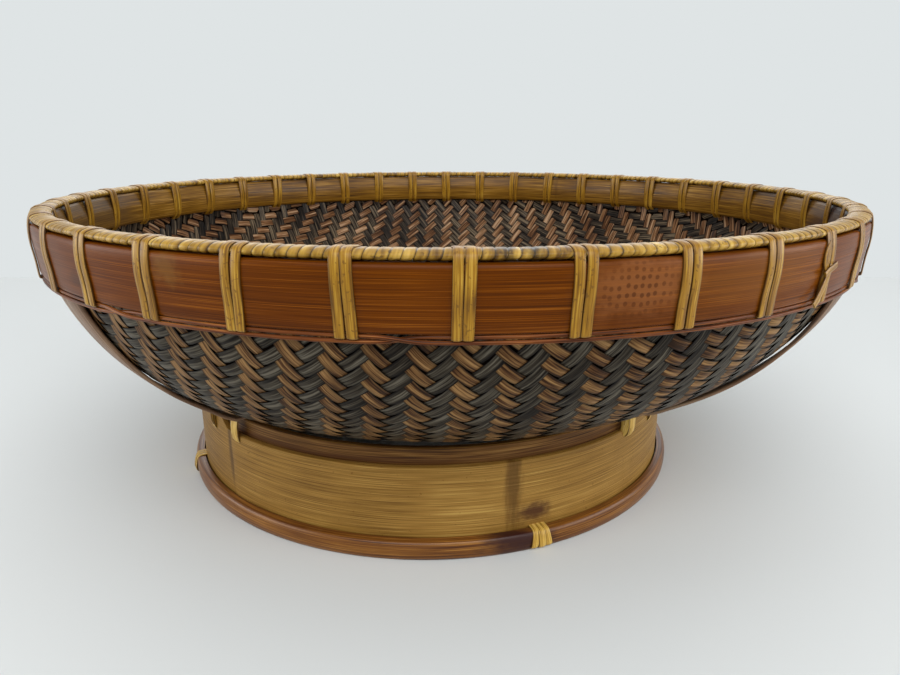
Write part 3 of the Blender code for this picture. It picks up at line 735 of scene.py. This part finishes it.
def make_coil():
    """Cane wound round the capping strip in one long helix."""
    rows, around = len(COIL_ROWS), COIL_POINTS
    lift = chance.normal(0, COIL_LIFT_SPREAD, COIL_TURNS + 2)
    lean = chance.normal(0, COIL_LEAN_SPREAD, COIL_TURNS + 2)
    slip = chance.normal(0, COIL_SLIP_SPREAD, COIL_TURNS + 2)
    lift[-2:], lean[-2:], slip[-2:] = lift[:2], lean[:2], slip[:2]
    turn, row, spot = np.meshgrid(np.arange(COIL_TURNS), np.arange(rows), np.arange(around), indexing="ij")
    share = spot / around
    across = np.array(COIL_ROWS)[row]

    def blend(values):
        return values[turn] * (1 - share) + values[turn + 1] * share

    from_middle = np.abs(2 * across - 1)
    out = COIL_CROWN * (1 - from_middle**COIL_CROWN_POWER) + blend(lift) + blend(lean) * (across - 0.5)
    advance = share + COIL_STEP_ON_TOP * np.sin(2 * math.pi * share) / (2 * math.pi)
    azimuth = math.pi + (turn + across + advance + blend(slip)) * 2 * math.pi / COIL_TURNS
    angle = 2 * math.pi * share - math.pi / 2
    radius = CAP_RADIUS + (CAP_HALF_WIDTH - COIL_CROWN + out) * np.cos(angle)
    height = CAP_Z + (CAP_HALF_HEIGHT - COIL_CROWN + out) * np.sin(angle)
    count = COIL_TURNS * rows
    line = np.arange(count)[:, None]
    place = np.arange(around)[None, :]

    def corner(line, place):
        return (line + rows * (place // around)) % count * around + place % around

    steps = ((0, 0), (0, 1), (1, 1), (1, 0))
    quads = [corner(line + along, place + up) for along, up in steps]
    coil = Strips()
    coil.points.append(polar(radius, azimuth, height).reshape(-1, 3))
    coil.faces = np.stack(quads, axis=-1).reshape(-1, 4).tolist()
    sides = np.array((*COIL_ROWS, 1.0)) * COIL_CANE_WIDTH
    row_of, turn_of = line % rows + 0 * place, line // rows
    u_low, u_high = ((turn_of + (place + step) / around) * COIL_GIRTH for step in (0, 1))
    v_low, v_high = sides[row_of], sides[row_of + 1]
    uv = np.stack((u_low, v_low, u_high, v_low, u_high, v_high, u_low, v_high), axis=-1)
    coil.uvs.append(uv.reshape(-1, 2))
    coil.outside.append(np.ones(len(coil.faces)))
    coil.edge.append(from_middle.reshape(-1))
    piece = coil.piece("wound_rim_cane", 60)
    # Flat rattan cane with its glossy skin outside, golden, dark in the joints
    finish = grain_material(
        "rattan_winding",
        ("#624312", "#8c6820", "#a67f2e", "#b8923d", "#cca854"),
        (14, 2.4), 18, 0.30, 0.03, edge="#170c03", specks=(2.2, 0.36, "#5d4118"),
        stains=(
            (on_ring(CAP_RADIUS, 4.6, CAP_Z), (0.005, 0.008, 0.006), "#170d05", 0.95),
            (on_ring(CAP_RADIUS, 6.9, CAP_Z), (0.006, 0.008, 0.006), "#170d05", 0.95),
        ),
    )
    dress(piece, finish, "wound_cane", "rim_wrapping")


def cane_section(width, thickness):
    """Flat cane: level below, gently crowned above."""
    half, thick = width / 2, thickness / 2
    return [
        (-half, -thick), (0, -thick), (half, -thick), (half * 0.98, thick * 0.3),
        (half * 0.55, thick * 0.9), (0, thick), (-half * 0.55, thick * 0.9), (-half * 0.98, thick * 0.3),
    ]


def lashing_loop():
    """Loop of a lashing in (radius, z): up the outer band, over the coil, down inside, through the wall."""
    low = RIM_RADIUS - RIM_LEAN + CANE_LIFT
    high = RIM_RADIUS + CANE_LIFT
    inside = INSIDE_RADIUS - CANE_LIFT
    loop = [
        (low - 3 * MM, LASHING_Z + 0.6 * MM), (low - 0.2 * MM, LASHING_Z + 0.4 * MM),
        (low, LASHING_Z + 1.6 * MM), (low + 0.4 * MM, BAND_BOTTOM + 7 * MM),
        (high + 0.1 * MM, BAND_TOP - 9 * MM), (high, BAND_TOP - 2 * MM),
    ]
    for degrees in LASHING_BENDS:
        turn = math.radians(degrees)
        across = (CAP_HALF_WIDTH + 0.2 * MM) * math.cos(turn)
        loop.append((CAP_RADIUS + across, CAP_Z + (CAP_HALF_HEIGHT + 0.1 * MM) * math.sin(turn)))
    loop += [(inside + 0.1 * MM, BAND_TOP - 4 * MM), (inside, (BAND_TOP + INNER_BOTTOM) / 2)]
    loop += [(inside + 0.9 * MM, INNER_BOTTOM + 1.5 * MM), (inside + 3.2 * MM, INNER_BOTTOM - 0.8 * MM)]
    return rounded(loop, 2, True)


def lay_lashing(strips, loop, azimuth, offset, skew, section):
    """Sweeps one cane round the rim at this azimuth, moved sideways and leaning a little."""
    normal = loop_normals(loop)
    height = (loop[:, 1] - BAND_BOTTOM) / (BAND_TOP - BAND_BOTTOM) - 0.5
    face = np.where(loop[:, 0] > CAP_RADIUS, 1.0, -1.0)
    shift = offset + skew * height * face
    out, side, up = upright_axes(azimuth)
    path = loop[:, :1] * out + shift[:, None] * side + loop[:, 1:] * up
    normals = normal[:, :1] * out + normal[:, 1:] * up
    strips.sweep(path, normals, section, closed=True, start=(chance.uniform(0, 3), chance.uniform(0, 3)))


def lay_knot(strips, azimuth):
    """Knot and loose tail of a lashing mended by hand; points are (sideways, z) on the outer band."""
    middle = (BAND_TOP + BAND_BOTTOM) / 2
    tail = [(1, 2), (-0.5, -2), (-3, -6), (-6, -10), (-9, -13)]
    knot = [(-4.5, -1.5), (-2, -0.2), (2, 0.8), (4.5, 1.6)]
    loose = [(-2, 11), (-4.5, 8), (-5, 4), (-3, 0)]
    for line, lift, width in ((tail, 1.5, 3.2), (knot, 2.0, 2.6), (loose, 1.2, 1.6)):
        line = rounded(np.array(line) * MM, 2, False)
        turn = azimuth + line[:, 0] / RIM_RADIUS
        path = polar(RIM_RADIUS - RIM_LEAN / 2 + lift * MM, turn, middle + line[:, 1])
        section = cane_section(width * MM, CANE_THICKNESS)
        strips.sweep(path, polar(1.0, turn, 0.0), section, start=(chance.uniform(0, 3), 0.0))


def node_azimuth(name, centre_x=0.0):
    """Azimuth of the middle of a solid."""
    low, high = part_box(name)
    middle = (low + high) / 2
    return math.atan2(middle.x - centre_x, -middle.y)


def make_lashings():
    """Two canes side by side at each lashing."""
    # Rattan cane with its skin outside: golden yellow, glossy, freckled with handling dirt
    finish = grain_material(
        "golden_rattan_cane",
        ("#61400c", "#825a15", "#976d1c", "#a67c25", "#bd943a"),
        (16, 0.6), 14, 0.32, 0.05, edge="#4a2c0a", specks=(1.6, 0.38, "#6a481a"),
    )
    loop = lashing_loop()
    for number in range(1, LASHING_COUNT + 1):
        node = f"rim_lashing_{number:02d}"
        azimuth = node_azimuth(node)
        strips = Strips()
        lean = chance.normal(0, LASHING_LEAN)
        for side in (-1, 1):
            width = CANE_WIDTH * chance.uniform(0.93, 1.06)
            offset = side * (width + CANE_PAIR_GAP) / 2 + chance.normal(0, CANE_STRAY)
            section = cane_section(width, CANE_THICKNESS)
            lay_lashing(strips, loop, azimuth, offset, lean + chance.normal(0, CANE_LEAN), section)
        if abs(azimuth - MENDED_LASHING_AZIMUTH) < math.pi / LASHING_COUNT:
            lay_knot(strips, azimuth)
        dress(strips.piece(f"rim_lashing_cane_{number:02d}"), finish, "lashing_cane", node)


def make_runners():
    """Two thin rods under the outer band that change places between lashings."""
    azimuths = sorted(node_azimuth(f"rim_lashing_{k:02d}") for k in range(1, LASHING_COUNT + 1))
    swaps = np.cumsum(chance.random(LASHING_COUNT) < RUNNER_SWAP_CHANCE)
    swaps[-1] += swaps[-1] % 2
    # Peeled rods, reddish brown, rubbed to a satin polish
    finish = grain_material(
        "peeled_red_rod",
        ("#281206", "#4a240d", "#653412", "#7e471b", "#a06632"),
        (25, 0.4), 30, 0.38, 0.06, shine=0.15,
    )
    fine = np.linspace(0, 2 * math.pi, RUNNER_STEPS, endpoint=False) + azimuths[0]
    bays = np.interp(fine, azimuths + [azimuths[0] + 2 * math.pi], np.arange(LASHING_COUNT + 1))
    bay = np.minimum(bays.astype(int), LASHING_COUNT - 1)
    before = np.concatenate(([0], swaps[:-1]))
    half_turns = before[bay] + (swaps - before)[bay] * smooth_step(0.1, 0.9, bays - bay)
    rise = RUNNER_SPREAD / 2
    centre_z = BAND_BOTTOM - RUNNER_HALF - rise
    radius = RIM_RADIUS - RIM_LEAN - RUNNER_HALF - RUNNER_INSET
    section = [(RUNNER_HALF * math.cos(a), RUNNER_HALF * math.sin(a)) for a in np.arange(10) * math.pi / 5]
    tilt = math.pi * half_turns
    for name, sign, node in (("runner_rod_a", 1, "upper_runner"), ("runner_rod_b", -1, "lower_runner")):
        z = centre_z + sign * rise * np.cos(tilt)
        reach = radius + sign * RUNNER_HALF * 0.9 * np.sin(tilt)
        strips = Strips()
        strips.sweep(polar(reach, fine, z), polar(1.0, fine, 0.0), section, closed=True)
        dress(strips.piece(name), finish, "runner_rod", node)


# The straps


def strap_line(dip, slack):
    """Middle line of a strap in (reach, z), from rim to rim under the bowl."""
    landing = FOOT_RADIUS - FOOT_X - BASE_SHIFT
    level = STRAP_BOTTOM + STRAP_THICKNESS / 2
    outside = BOWL_LINE + BOWL_NORMAL * WALL_THICKNESS / 2
    start = np.interp(RUNNER_TOP, outside[:, 1], BOWL_DISTANCE)
    end = np.interp(landing, outside[:, 0], BOWL_DISTANCE)
    share = np.linspace(0, 1, STRAP_POINTS)
    radius, z, out, up = bowl_section(start + (end - start) * share, outside)
    close = STRAP_CLEAR + STRAP_THICKNESS / 2
    drop = z[-1] - level
    hang = close + slack * np.sin(share * math.pi / 2)
    gap = hang + (drop - hang) * share**STRAP_FALL_POWER
    arm = np.column_stack((radius + out * gap, z + up * gap))
    arm[-1] = (landing, level)
    inner = [(STRAP_LEVEL_SHARE * landing, level)]
    if dip:
        inner += [(STRAP_CROSSING + STRAP_DIP_REACH, level), (STRAP_CROSSING, level - dip)]
    arm = np.vstack((arm, inner))
    return np.vstack((arm, (arm * (-1, 1))[::-1]))


def make_straps():
    half, thick, soft = STRAP_WIDTH / 2, STRAP_THICKNESS / 2, STRAP_SOFT
    section = [
        (-half + soft, -thick), (0, -thick), (half - soft, -thick), (half, -thick + soft),
        (half, thick - soft), (half - soft, thick), (0, thick * 1.15), (-half + soft, thick),
        (-half, thick - soft), (-half, -thick + soft),
    ]
    # Split bamboo gone grey-brown, the pith side dull and the skin side faintly polished
    finish = grain_material(
        "weathered_bamboo_split",
        ("#4a3628", "#6a4f3b", "#80624a", "#93755a", "#a88c6f"),
        (40, 0.7), 40, 0.5, 0.08, coat=0.05,
    )
    nodes = ("cross_strap_over", "cross_strap_under")
    for node, azimuth, dip, slack in zip(nodes, STRAP_AZIMUTHS, (0, STRAP_DIP), STRAP_SLACKS):
        line = strap_line(dip, slack)
        run = unit(np.gradient(line, axis=0))
        normal = np.column_stack((run[:, 1], -run[:, 0]))
        out, _, up = upright_axes(azimuth)
        path = line[:, :1] * out + line[:, 1:] * up
        path[:, 0] += base_shift(line[:, 1])
        normals = normal[:, :1] * out + normal[:, 1:] * up
        if normals[len(normals) // 2][2] > 0:
            normals = -normals
        strips = Strips()
        strips.sweep(path, normals, section, start=(0.0, azimuth))
        dress(strips.piece(node.replace("cross_strap", "crossed_split")), finish, "strap_bamboo", node)


# The foot


def foot_top(azimuth):
    """Top edge of the light band, which stands lower across the front."""
    edge = FOOT_STEP_HALF_ANGLE
    return FOOT_TOP - FOOT_STEP_DROP * (1 - smooth_step(edge - 0.05, edge + 0.02, abs(azimuth)))


def make_foot_bands():
    inner, soft = FOOT_INSIDE, FOOT_SOFT
    outline = [
        (BRACE_RADIUS - soft, FOOT_TOP), (BRACE_RADIUS, FOOT_TOP - soft), (BRACE_RADIUS, FOOT_TOP - 4 * MM),
        (BRACE_RADIUS, FOOT_BOTTOM), (inner, FOOT_BOTTOM), (inner, FOOT_TOP - 4 * MM), (inner, FOOT_TOP),
    ]
    brace = spun_ring("foot_band_inside", outline, FOOT_X)
    # Brown split bamboo, satin, with painted shade darkening it below where the light band stands against it
    brown = grain_material(
        "brown_split_bamboo",
        ("#301c09", "#4e3011", "#64421b", "#7a5426", "#906c38"),
        (50, 0.5), 50, 0.45, 0.06, shine=0.15,
        # Painted shade: a darker ring where the light band stands in front
        stains=(((FOOT_X, 0, FOOT_TOP - 8 * MM), (0.4, 0.4, 0.005), "#4a2a12", 0.7),),
    )
    dress(brace, brown, "foot_inner_bamboo", "foot_inner_band")

    back = FOOT_RADIUS - FOOT_OUTER_THICKNESS
    middle = (FOOT_TOP + FOOT_BOTTOM) / 2
    outline = [
        (FOOT_RADIUS - soft * 1.6, FOOT_TOP), (FOOT_RADIUS - soft * 0.4, FOOT_TOP - soft * 0.8),
        (FOOT_RADIUS, FOOT_TOP - 2.2 * MM), (FOOT_RADIUS, middle), (FOOT_RADIUS, FOOT_BOTTOM),
        (back, FOOT_BOTTOM), (back, middle), (back, FOOT_TOP),
    ]
    band = spun_ring("foot_band_outside", outline, FOOT_X)

    def shape(azimuth, radius, z):
        share = (z - FOOT_BOTTOM) / (FOOT_TOP - FOOT_BOTTOM)
        past_seam = (azimuth - FOOT_SEAM_AZIMUTH) % (2 * math.pi)
        lap = FOOT_LAP * smooth_step(FOOT_LAP_ANGLE, 0.0, past_seam)
        return radius + lap, FOOT_BOTTOM + (foot_top(azimuth) - FOOT_BOTTOM) * share

    reshape(band, FOOT_X, shape)
    # Scraped light bamboo: ochre, fine dark and pale fibres, matt
    light = grain_material(
        "scraped_light_bamboo",
        ("#60411a", "#795824", "#8a662c", "#9a7437", "#b28f4b"),
        (60, 0.26), 45, 0.46, 0.05, shine=0.15, specks=(1.8, 0.3, "#6d4a1c"),
        stains=(
            (on_ring(FOOT_RADIUS, 16.9, 0.034, FOOT_X), (0.006, 0.007, 0.04), "#452a0c", 0.7),
            (on_ring(FOOT_RADIUS, 21.5, 0.0175, FOOT_X), (0.0125, 0.009, 0.0075), "#3c1c12", 0.85),
            (on_ring(FOOT_RADIUS, -45.3, 0.034, FOOT_X), (0.003, 0.003, 0.03), "#3d2409", 0.7),
        ),
    )
    dress(band, light, "foot_outer_bamboo", "foot_outer_band")


def make_hoop():
    inside = HOOP_RADIUS - HOOP_THICKNESS
    outline = [(inside, HOOP_TOP)]
    for k in range(HOOP_POINTS):
        turn = math.pi * k / (HOOP_POINTS - 1)
        share = (1 - math.cos(turn)) / 2
        bulge = HOOP_SIDE + (HOOP_THICKNESS - HOOP_SIDE) * math.sin(turn) ** HOOP_ROUNDNESS
        outline.append((inside + bulge, HOOP_TOP * (1 - share)))
    outline.append((inside, 0.0))
    hoop = spun_ring("foot_half_round_hoop", outline, FOOT_X)
    # Half-round bamboo, skin side out: polished orange brown
    finish = grain_material(
        "polished_half_round_bamboo",
        ("#41210a", "#5a3210", "#6f4317", "#82531f", "#9e6d30"),
        (60, 0.45), 40, 0.32, 0.05, coat=0.05,
        stains=(
            (on_ring(HOOP_RADIUS, 18.0, 0.007, FOOT_X), (0.030, 0.012, 0.014), "#2f1412", 0.95),
            # Painted highlight: a pale patch at the scarf joint on the left
            (on_ring(HOOP_RADIUS, -21.0, 0.012, FOOT_X), (0.011, 0.007, 0.0025), "#d8b488", 0.4),
        ),
    )
    dress(hoop, finish, "hoop_bamboo", "foot_hoop")


def make_strap_ties(finish):
    """Canes that bind the straps to the top of the foot: one askew over the strap, two upright beside it."""
    outside = FOOT_RADIUS + 0.7 * MM
    inside = FOOT_INSIDE - 0.8 * MM
    side = 0.5 * STRAP_WIDTH / BRACE_RADIUS + 0.02
    for number in range(1, TIE_COUNT + 1):
        node = f"strap_tie_{number}"
        low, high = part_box(node)
        azimuth = node_azimuth(node, FOOT_X)
        top = high.z - 0.6 * MM
        bottom = low.z + 0.6 * MM
        loop = [
            polar(outside, azimuth - side, bottom, FOOT_X),
            polar(outside, azimuth - side, top, FOOT_X),
            polar(inside, azimuth + side, top, FOOT_X),
            polar(inside, azimuth + side, bottom, FOOT_X),
            polar(inside, azimuth - side, bottom, FOOT_X),
        ]
        path = rounded(loop, 3, True)
        strips = Strips()
        section = cane_section(TIE_WIDTH, TIE_THICKNESS)
        strips.sweep(path, unit(path - path.mean(axis=0)), section, closed=True)
        face = outside + TIE_LIFT
        loop = rounded([(face, bottom - 3 * MM), (face, top), (inside, top), (inside, bottom)], 2, True)
        normal = loop_normals(loop)
        front = -math.copysign(side, math.sin(azimuth) * math.cos(azimuth))
        for turn, width in zip((-front, 0.62 * front), TIE_STRAND_WIDTHS):
            path = polar(loop[:, 0], azimuth + turn, loop[:, 1], FOOT_X)
            normals = polar(normal[:, 0], azimuth + turn, normal[:, 1])
            strips.sweep(path, normals, cane_section(width, CANE_THICKNESS), closed=True)
        dress(strips.piece(f"strap_tie_cane_{number}"), finish, "tie_cane", node)


def make_hoop_ties(finish):
    """Three canes side by side, spread towards the floor, that bind the hoop to the foot."""
    inside = FOOT_INSIDE - CANE_LIFT
    loop = [
        (inside, 0.8 * MM), (HOOP_RADIUS - 1.2 * MM, 0.8 * MM), (HOOP_RADIUS + 0.7 * MM, 2.2 * MM),
        (HOOP_RADIUS + CANE_LIFT, HOOP_TOP / 2), (HOOP_RADIUS - 0.6 * MM, HOOP_TOP - 0.6 * MM),
        (HOOP_RADIUS - 3 * MM, HOOP_TOP + CANE_LIFT), (inside, HOOP_TOP + CANE_LIFT),
    ]
    loop = rounded(loop, 2, True)
    normal = loop_normals(loop)
    fan = 1.25 - 0.5 * loop[:, 1:] / HOOP_TOP
    for number in range(1, TIE_COUNT + 1):
        node = f"hoop_tie_{number}"
        out, across, up = upright_axes(node_azimuth(node, FOOT_X))
        normals = normal[:, :1] * out + normal[:, 1:] * up
        strips = Strips()
        for side in (-1, 1, 0):
            shift = side * (CANE_WIDTH - 0.3 * MM) * fan
            path = (loop[:, :1] + (0.5 * MM if side == 0 else 0)) * out
            path = path + shift * across + loop[:, 1:] * up + (FOOT_X, 0, 0)
            strips.sweep(path, normals, cane_section(CANE_WIDTH, CANE_THICKNESS), closed=True)
        dress(strips.piece(f"hoop_tie_cane_{number}"), finish, "tie_cane", node)


def make_foot_ties():
    # Flat rattan cane, straw gold, less handled than the rim's
    finish = grain_material(
        "straw_rattan_tie",
        ("#80601f", "#aa8434", "#c39b45", "#d2ae58", "#e2c376"),
        (16, 0.6), 12, 0.36, 0.05, edge="#54380f", specks=(1.5, 0.3, "#6a4e22"),
    )
    make_strap_ties(finish)
    make_hoop_ties(finish)


def finish_core():
    """The capping strip stays as its solid inside the winding."""
    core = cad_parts["rim_core"]
    # Unpolished split bamboo: pale straw, dry and matt
    finish = grain_material(
        "raw_split_bamboo", ("#7a5c34", "#a5834f", "#c2a06a"), (30, 0.8), 40, 0.6, 0.05
    )
    core.data.materials.clear()
    core.data.materials.append(finish)


# Stage, light and camera


def make_stage():
    """Pale floor, clear from below so that the foot's underside can be looked at."""
    bpy.ops.object.select_all(action="DESELECT")
    bpy.ops.mesh.primitive_plane_add(size=1.0)
    floor = bpy.context.object
    floor.name = "paper_floor"
    for vert in floor.data.vertices:
        vert.co = (vert.co.x * FLOOR_WIDTH, FLOOR_FRONT if vert.co.y < 0 else FLOOR_BACK, 0)
    # Matt paper, a little cool, that takes soft shadows
    material, tree, shader = new_material("matt_white_paper")
    shader.inputs["Base Color"].default_value = srgb("#dfe3e3")
    shader.inputs["Roughness"].default_value = 0.9
    shader.inputs["Specular IOR Level"].default_value = 0.2
    side = add_node(tree, "ShaderNodeNewGeometry")
    clear = add_node(tree, "ShaderNodeBsdfTransparent")
    sided = add_node(tree, "ShaderNodeMixShader", {0: (side, "Backfacing"), 1: (shader, 0), 2: (clear, 0)})
    tree.links.new(sided.outputs[0], tree.nodes["Material Output"].inputs["Surface"])
    floor.data.materials.append(material)


def add_lamp(name, place, target, size, power):
    """Soft box of this width and height, turned to a target."""
    lamp = bpy.data.lights.new(name, "AREA")
    lamp.shape = "RECTANGLE"
    lamp.size, lamp.size_y = size
    lamp.energy = power
    holder = bpy.data.objects.new(name, lamp)
    bpy.context.scene.collection.objects.link(holder)
    holder.location = place
    holder.rotation_euler = (Vector(target) - Vector(place)).to_track_quat("-Z", "Y").to_euler()


def make_light():
    """Soft boxes all round in a dim room, whose pale wall is only for the eye and for reflections."""
    world = bpy.data.worlds.new("soft_room")
    world.use_nodes = True
    tree = world.node_tree
    room = tree.nodes["Background"]
    room.inputs["Color"].default_value = srgb("#eef3f5")
    room.inputs["Strength"].default_value = 0.12
    wall = add_node(tree, "ShaderNodeBackground", {"Color": srgb("#dfe4e5"), "Strength": 1.0})
    path = add_node(tree, "ShaderNodeLightPath")
    seen = (path, "Is Camera Ray")
    for kind in ("Is Glossy Ray", "Is Transmission Ray"):
        seen = (add_node(tree, "ShaderNodeMath", {0: seen, 1: (path, kind)}, operation="MAXIMUM"), 0)
    mixed = add_node(tree, "ShaderNodeMixShader", {0: seen, 1: (room, 0), 2: (wall, 0)})
    tree.links.new(mixed.outputs[0], tree.nodes["World Output"].inputs["Surface"])
    bpy.context.scene.world = world
    add_lamp("ceiling_soft_box", (0, 0.0, 1.7), (0, 0, 0.1), (2.4, 2.0), 15)
    add_lamp("front_soft_box", (0.1, -1.3, 1.1), (0, 0, 0.0), (1.8, 0.8), 18)
    add_lamp("right_soft_box", (1.5, -0.5, 0.4), (0, 0, 0.0), (1.4, 0.7), 13)
    add_lamp("left_soft_box", (-1.5, -0.4, 0.4), (0, 0, 0.0), (1.4, 0.7), 11)
    add_lamp("back_soft_box", (0, 1.4, 0.9), (0, 0.2, 0.0), (2.2, 0.8), 9)


def make_camera():
    """The photograph's view."""
    camera = bpy.data.cameras.new("photo_view")
    camera.sensor_width = CAMERA_SENSOR_MM
    camera.lens = CAMERA_LENS_MM
    holder = bpy.data.objects.new("photo_view", camera)
    bpy.context.scene.collection.objects.link(holder)
    holder.location = CAMERA_PLACE
    holder.rotation_euler = (CAMERA_TILT, 0, 0)
    bpy.context.scene.camera = holder


make_camera()
make_mat()
make_mat_shade_sheet()
make_outer_band()
make_inner_band()
make_coil()
make_lashings()
make_runners()
make_straps()
make_foot_bands()
make_hoop()
make_foot_ties()
finish_core()
make_stage()
make_light()
bpy.context.scene.view_settings.view_transform = "Standard"
